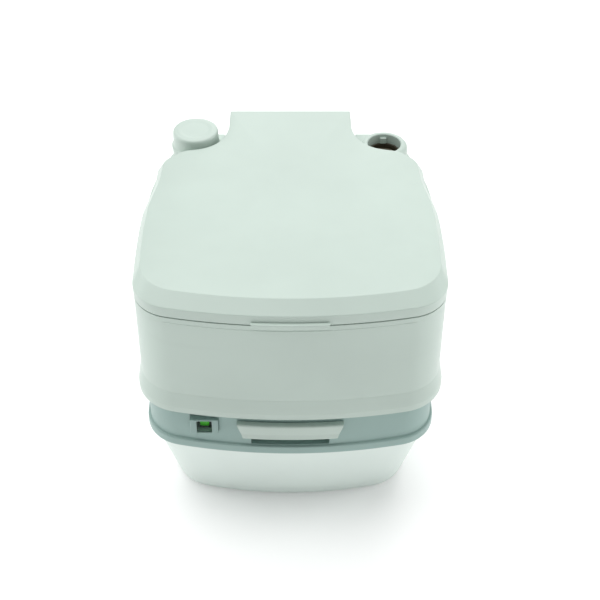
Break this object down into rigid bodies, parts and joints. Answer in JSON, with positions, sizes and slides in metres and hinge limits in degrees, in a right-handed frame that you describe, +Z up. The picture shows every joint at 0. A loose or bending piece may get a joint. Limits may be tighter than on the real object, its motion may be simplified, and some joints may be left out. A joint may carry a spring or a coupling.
{
  "type": "cassette toilet",
  "caption": "Portable flush toilet with bowl, seat and lid on a flush-water tank that lifts off a detachable waste tank with slide valve, pour-out spout and level window.",
  "frame": {"origin": "on the floor under the middle of the body", "axes": "+Z up, the front faces -Y, +X is the user's left when seated"},
  "size_m": [0.383, 0.426, 0.418],
  "materials": {
    "white_plastic": "satin",
    "white_tub": "satin",
    "grey_plastic": "satin",
    "dark_plastic": "matt",
    "flag_plastic": "matt",
    "lens_plastic": "clear",
    "black_rubber": "matt",
    "grey_rubber": "matt",
    "steel": "brushed"
  },
  "bodies": {
    "waste_section": {"waste_tank": "white_tub", "tank_cover": "grey_plastic", "indicator_bezel": "grey_plastic", "indicator_window": "lens_plastic", "float_pin": "steel", "valve_body": "grey_plastic", "valve_seal": "black_rubber", "valve_clamp": "grey_plastic", "valve_screws": "steel", "vent_housing": "grey_plastic", "vent_spring": "steel", "spout_collar": "grey_plastic", "carry_handle_pins": "steel", "latch_pin": "steel", "latch_spring": "steel"},
    "valve_slide": {"valve_blade": "white_plastic", "valve_handle": "white_plastic", "handle_screws": "steel"},
    "float_lever": {"float_arm": "dark_plastic", "tank_float": "white_tub", "level_flag": "flag_plastic"},
    "vent_plunger": {"vent_button": "dark_plastic", "vent_disc": "black_rubber"},
    "spout_swivel": {"spout": "grey_plastic", "spout_seal": "black_rubber"},
    "dump_seal": {"dump_cap_seal": "black_rubber"},
    "dump_cap": {"dump_cap": "dark_plastic"},
    "carry_handle": {"carry_handle": "grey_plastic"},
    "latch_lever": {"latch_lever": "grey_plastic"},
    "flush_section": {"flush_tank": "white_plastic", "flush_tank_base": "white_plastic", "bowl": "white_plastic", "flush_nozzle": "white_plastic", "flush_hose": "lens_plastic", "hose_clips": "steel", "pump_valve": "white_plastic", "pump_cylinder": "white_plastic", "pump_collar": "white_plastic", "fill_neck": "dark_plastic", "hinge_pins": "steel"},
    "pump": {"pump_knob": "white_plastic", "pump_rod": "steel", "pump_piston": "dark_plastic", "piston_seal": "black_rubber"},
    "fill_seal": {"fill_cap_seal": "black_rubber"},
    "fill_cap": {"fill_cap": "dark_plastic"},
    "seat": {"seat": "white_plastic", "seat_bumpers": "grey_rubber"},
    "lid": {"lid": "white_plastic", "lid_bumpers": "grey_rubber"}
  },
  "joints": [
    {"name": "flush_section_lift", "type": "slide", "parent": "waste_section", "child": "flush_section", "axis": [0, 0, 1], "range_m": [0, 0.08]},
    {"name": "seat_hinge", "type": "hinge", "parent": "flush_section", "child": "seat", "pos_m": [0, 0.2025, 0.398], "axis": [-1, 0, 0], "range_deg": [0, 100]},
    {"name": "lid_hinge", "type": "hinge", "parent": "seat", "child": "lid", "pos_m": [0, 0.2025, 0.398], "axis": [-1, 0, 0], "range_deg": [0, 95]},
    {"name": "pump_stroke", "type": "slide", "parent": "flush_section", "child": "pump", "axis": [0, 0, 1], "range_m": [0, 0.065]},
    {"name": "fill_cap_lift", "type": "slide", "parent": "flush_section", "child": "fill_seal", "axis": [0, 0, 1], "range_m": [0, 0.045]},
    {"name": "fill_cap_turn", "type": "hinge", "parent": "fill_seal", "child": "fill_cap", "pos_m": [0.128, 0.1565, 0.372], "axis": [0, 0, 1], "range_deg": [0, 90]},
    {"name": "valve_pull", "type": "slide", "parent": "waste_section", "child": "valve_slide", "axis": [0, -1, 0], "range_m": [0, 0.108]},
    {"name": "float_swing", "type": "hinge", "parent": "waste_section", "child": "float_lever", "pos_m": [-0.1067, -0.17, 0.211], "axis": [1, 0, 0], "range_deg": [0, 32]},
    {"name": "vent_press", "type": "slide", "parent": "waste_section", "child": "vent_plunger", "axis": [0, 0, -1], "range_m": [0, 0.004], "stiffness_N_per_m": 600, "deforming": ["vent_spring"]},
    {"name": "spout_turn", "type": "hinge", "parent": "waste_section", "child": "spout_swivel", "pos_m": [0.105, 0.168, 0.134], "axis": [0, 0, -1], "range_deg": [0, 90]},
    {"name": "dump_cap_pull", "type": "slide", "parent": "spout_swivel", "child": "dump_seal", "axis": [-1, 0, 0], "range_m": [0, 0.06]},
    {"name": "dump_cap_turn", "type": "hinge", "parent": "dump_seal", "child": "dump_cap", "pos_m": [0.008, 0.168, 0.134], "axis": [1, 0, 0], "range_deg": [0, 270]},
    {"name": "carry_handle_fold", "type": "hinge", "parent": "waste_section", "child": "carry_handle", "pos_m": [0, 0.2074, 0.219], "axis": [1, 0, 0], "range_deg": [0, 90]},
    {"name": "latch_press", "type": "hinge", "parent": "waste_section", "child": "latch_lever", "pos_m": [0, 0.2076, 0.215], "axis": [-1, 0, 0], "range_deg": [0, 14], "stiffness_Nm_per_rad": 0.5}
  ]
}
